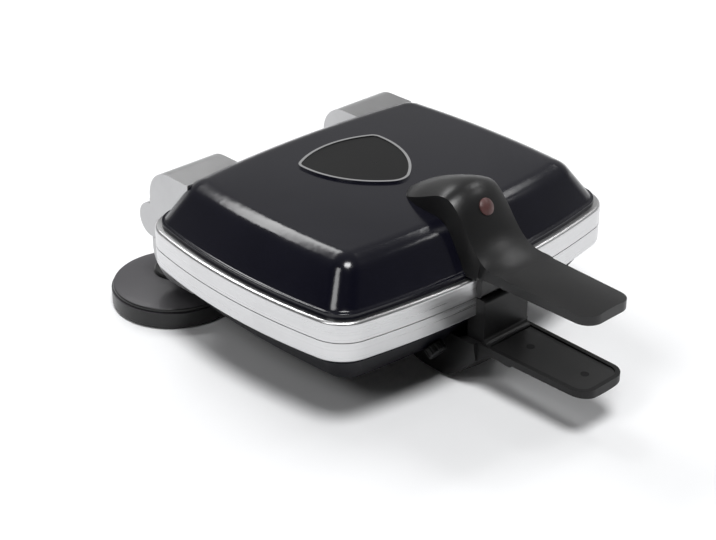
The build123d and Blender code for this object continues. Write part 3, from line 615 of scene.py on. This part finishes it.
def soft_box(name, azimuth, elevation, width, height, radiance):
    """A rectangle of light that fills a given width and height, in degrees, as seen from the object."""
    turn, rise = math.radians(azimuth), math.radians(elevation)
    level = math.cos(rise)
    towards = Vector((math.cos(turn) * level, math.sin(turn) * level, math.sin(rise)))
    data = bpy.data.lights.new(name, "AREA")
    data.shape = "RECTANGLE"
    data.size = 2.0 * LIGHT_DISTANCE * math.tan(math.radians(width) / 2.0)
    data.size_y = 2.0 * LIGHT_DISTANCE * math.tan(math.radians(height) / 2.0)
    data.energy = radiance * math.pi * data.size * data.size_y
    lamp = bpy.data.objects.new(name, data)
    lamp.location = towards * LIGHT_DISTANCE
    lamp.rotation_euler = towards.to_track_quat("Z", "Y").to_euler()
    bpy.context.scene.collection.objects.link(lamp)


def sun_lamp(name, come_from, strength, spread_degrees):
    """An even light over the whole floor, from a direction, with soft-edged shadows."""
    data = bpy.data.lights.new(name, "SUN")
    data.energy = strength
    data.angle = math.radians(spread_degrees)
    lamp = bpy.data.objects.new(name, data)
    lamp.rotation_euler = Vector(come_from).to_track_quat("Z", "Y").to_euler()
    bpy.context.scene.collection.objects.link(lamp)


def studio_world():
    """A dim room, lighter at the back right than at the front left, with a white horizon."""
    world = bpy.data.worlds.new("studio_world")
    world.use_nodes = True
    tree = world.node_tree
    where = place(tree, "ShaderNodeTexCoord", -5, 0)
    slope = place(tree, "ShaderNodeVectorMath", -4, 0, operation="DOT_PRODUCT")
    link(tree, where.outputs["Generated"], slope.inputs[0])
    slope.inputs[1].default_value = ROOM_SLOPE
    room = place(tree, "ShaderNodeMath", -3, 0, operation="ADD")
    link(tree, slope.outputs["Value"], room.inputs[0])
    room.inputs[1].default_value = ROOM_MIDDLE
    height = place(tree, "ShaderNodeSeparateXYZ", -4, 1)
    link(tree, where.outputs["Generated"], height.inputs[0])
    horizon = spread(tree, height.outputs["Z"], 1.0, 0.0, -3, 1, HORIZON_TOP / 2.0, HORIZON_TOP)
    brighter = place(tree, "ShaderNodeMath", -2, 0, operation="MAXIMUM")
    link(tree, room.outputs[0], brighter.inputs[0])
    link(tree, horizon, brighter.inputs[1])
    background = tree.nodes["Background"]
    background.inputs["Color"].default_value = (1, 1, 1, 1)
    link(tree, brighter.outputs[0], background.inputs["Strength"])
    return world


def floor_material():
    """White paper floor, which takes the object's shadow."""
    made, tree, shader, here = start_material("studio_floor_paper", Roughness=0.9, Specular_IOR_Level=0.0)
    grain = use_group(tree, grain_group(), here, -2, 0, Scale=300.0)
    tone = between(tree, grain.outputs["Tone"], (0.885, 0.89, 0.9), (0.905, 0.91, 0.92), 0, 0)
    link(tree, tone, shader.inputs["Base Color"])
    return made


class WAFFLE_OT_stage(bpy.types.Operator):
    """Pale floor, soft lights, world and the camera at the photograph's angle"""

    bl_idname = "waffle.stage"
    bl_label = "Studio"

    def execute(self, context):
        scene = context.scene
        for other in context.selected_objects:
            other.select_set(False)
        bpy.ops.mesh.primitive_plane_add(size=FLOOR_SIZE, location=(0, 0, 0))
        floor = context.active_object
        floor.name = "studio_floor"
        bpy.ops.object.mode_set(mode="EDIT")
        bpy.ops.mesh.subdivide(number_cuts=FLOOR_CUTS)
        bpy.ops.object.mode_set(mode="OBJECT")
        floor.data.materials.append(floor_material())

        scene.world = studio_world()
        sun_lamp("key_sun", KEY_FROM, KEY_STRENGTH, KEY_SPREAD)
        for name, seen in SOFT_BOXES.items():
            soft_box(name, *seen)

        data = bpy.data.cameras.new("photo_camera")
        data.lens = CAMERA_LENS
        data.sensor_width = CAMERA_SENSOR
        data.clip_start = CAMERA_NEAREST
        camera = bpy.data.objects.new("photo_camera", data)
        camera.location = CAMERA_PLACE
        tilt, turn = math.radians(90 - CAMERA_ELEVATION), math.radians(CAMERA_AZIMUTH)
        camera.rotation_euler = (tilt, 0.0, turn)
        scene.collection.objects.link(camera)
        scene.camera = camera
        scene.view_settings.view_transform = "Standard"
        return {"FINISHED"}


class WAFFLE_PT_panel(bpy.types.Panel):
    """Lists the pieces of the waffle maker and their settings"""

    bl_label = "Waffle maker"
    bl_idname = "WAFFLE_PT_panel"
    bl_space_type = "VIEW_3D"
    bl_region_type = "UI"
    bl_category = "Waffle maker"

    def draw(self, context):
        layout = self.layout
        for group in (context.scene.waffle_maker_shape, context.scene.waffle_maker_finish):
            for key in group.bl_rna.properties.keys():
                if key not in ("rna_type", "name"):
                    layout.prop(group, key)
        for operator in OPERATORS:
            layout.operator(operator.bl_idname)


OPERATORS = (
    WAFFLE_OT_stage,
    WAFFLE_OT_shells,
    WAFFLE_OT_bands,
    WAFFLE_OT_handles,
    WAFFLE_OT_hinge,
    WAFFLE_OT_feet,
    WAFFLE_OT_trim,
    WAFFLE_OT_inside,
)
CLASSES = (WaffleMakerShape, WaffleMakerFinish, *OPERATORS, WAFFLE_PT_panel)


def register():
    for item in CLASSES:
        bpy.utils.register_class(item)
    bpy.types.Scene.waffle_maker_shape = bpy.props.PointerProperty(type=WaffleMakerShape)
    bpy.types.Scene.waffle_maker_finish = bpy.props.PointerProperty(type=WaffleMakerFinish)


def unregister():
    del bpy.types.Scene.waffle_maker_finish
    del bpy.types.Scene.waffle_maker_shape
    for item in reversed(CLASSES):
        bpy.utils.unregister_class(item)


def main():
    register()
    bpy.ops.waffle.stage()
    bpy.ops.waffle.shells()
    bpy.ops.waffle.bands()
    bpy.ops.waffle.handles()
    bpy.ops.waffle.hinge()
    bpy.ops.waffle.feet()
    bpy.ops.waffle.trim()
    bpy.ops.waffle.inside()


if __name__ == "__main__":
    main()
